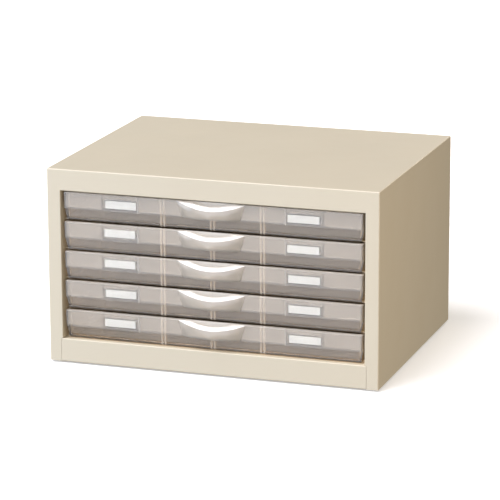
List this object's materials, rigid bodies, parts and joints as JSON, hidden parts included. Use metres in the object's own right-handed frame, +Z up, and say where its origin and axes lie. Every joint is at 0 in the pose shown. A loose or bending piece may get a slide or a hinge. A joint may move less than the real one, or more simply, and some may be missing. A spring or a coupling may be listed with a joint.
{
  "type": "desktop drawer unit",
  "caption": "Low desktop drawer unit: folded steel case in cream enamel with a stack of clear smoky plastic letter trays that slide out forwards, each with a finger pull and label cards",
  "frame": {"origin": "under the middle of the unit, on the surface that it stands on", "axes": "+Z up, -Y the drawer front, +X to the right seen from the front"},
  "size_m": [0.34, 0.269, 0.198],
  "materials": {
    "cream_enamel": "satin baked enamel",
    "smoke_polystyrene": "clear slightly smoky polystyrene, polished mould",
    "white_card": "matt white card",
    "rubber": "matt"
  },
  "bodies": {
    "case": {"cabinet_shell": "cream_enamel", "base_pan": "cream_enamel", "back_panel": "cream_enamel", "back_rivets": "cream_enamel", "inner_panel_left": "cream_enamel", "inner_panel_right": "cream_enamel", "foot_front_left": "rubber", "foot_front_right": "rubber", "foot_back_left": "rubber", "foot_back_right": "rubber", "runner_left_1": "cream_enamel", "runner_left_2": "cream_enamel", "runner_left_3": "cream_enamel", "runner_left_4": "cream_enamel", "runner_left_5": "cream_enamel", "runner_right_1": "cream_enamel", "runner_right_2": "cream_enamel", "runner_right_3": "cream_enamel", "runner_right_4": "cream_enamel", "runner_right_5": "cream_enamel"},
    "drawer_1": {"tray_1": "smoke_polystyrene", "label_card_left_1": "white_card", "label_card_right_1": "white_card"},
    "drawer_2": {"tray_2": "smoke_polystyrene", "label_card_left_2": "white_card", "label_card_right_2": "white_card"},
    "drawer_3": {"tray_3": "smoke_polystyrene", "label_card_left_3": "white_card", "label_card_right_3": "white_card"},
    "drawer_4": {"tray_4": "smoke_polystyrene", "label_card_left_4": "white_card", "label_card_right_4": "white_card"},
    "drawer_5": {"tray_5": "smoke_polystyrene", "label_card_left_5": "white_card", "label_card_right_5": "white_card"}
  },
  "joints": [
    {"name": "drawer_1_slide", "type": "slide", "parent": "case", "child": "drawer_1", "axis": [0, -1, 0], "range_m": [0, 0.2]},
    {"name": "drawer_2_slide", "type": "slide", "parent": "case", "child": "drawer_2", "axis": [0, -1, 0], "range_m": [0, 0.2]},
    {"name": "drawer_3_slide", "type": "slide", "parent": "case", "child": "drawer_3", "axis": [0, -1, 0], "range_m": [0, 0.2]},
    {"name": "drawer_4_slide", "type": "slide", "parent": "case", "child": "drawer_4", "axis": [0, -1, 0], "range_m": [0, 0.2]},
    {"name": "drawer_5_slide", "type": "slide", "parent": "case", "child": "drawer_5", "axis": [0, -1, 0], "range_m": [0, 0.2]}
  ]
}
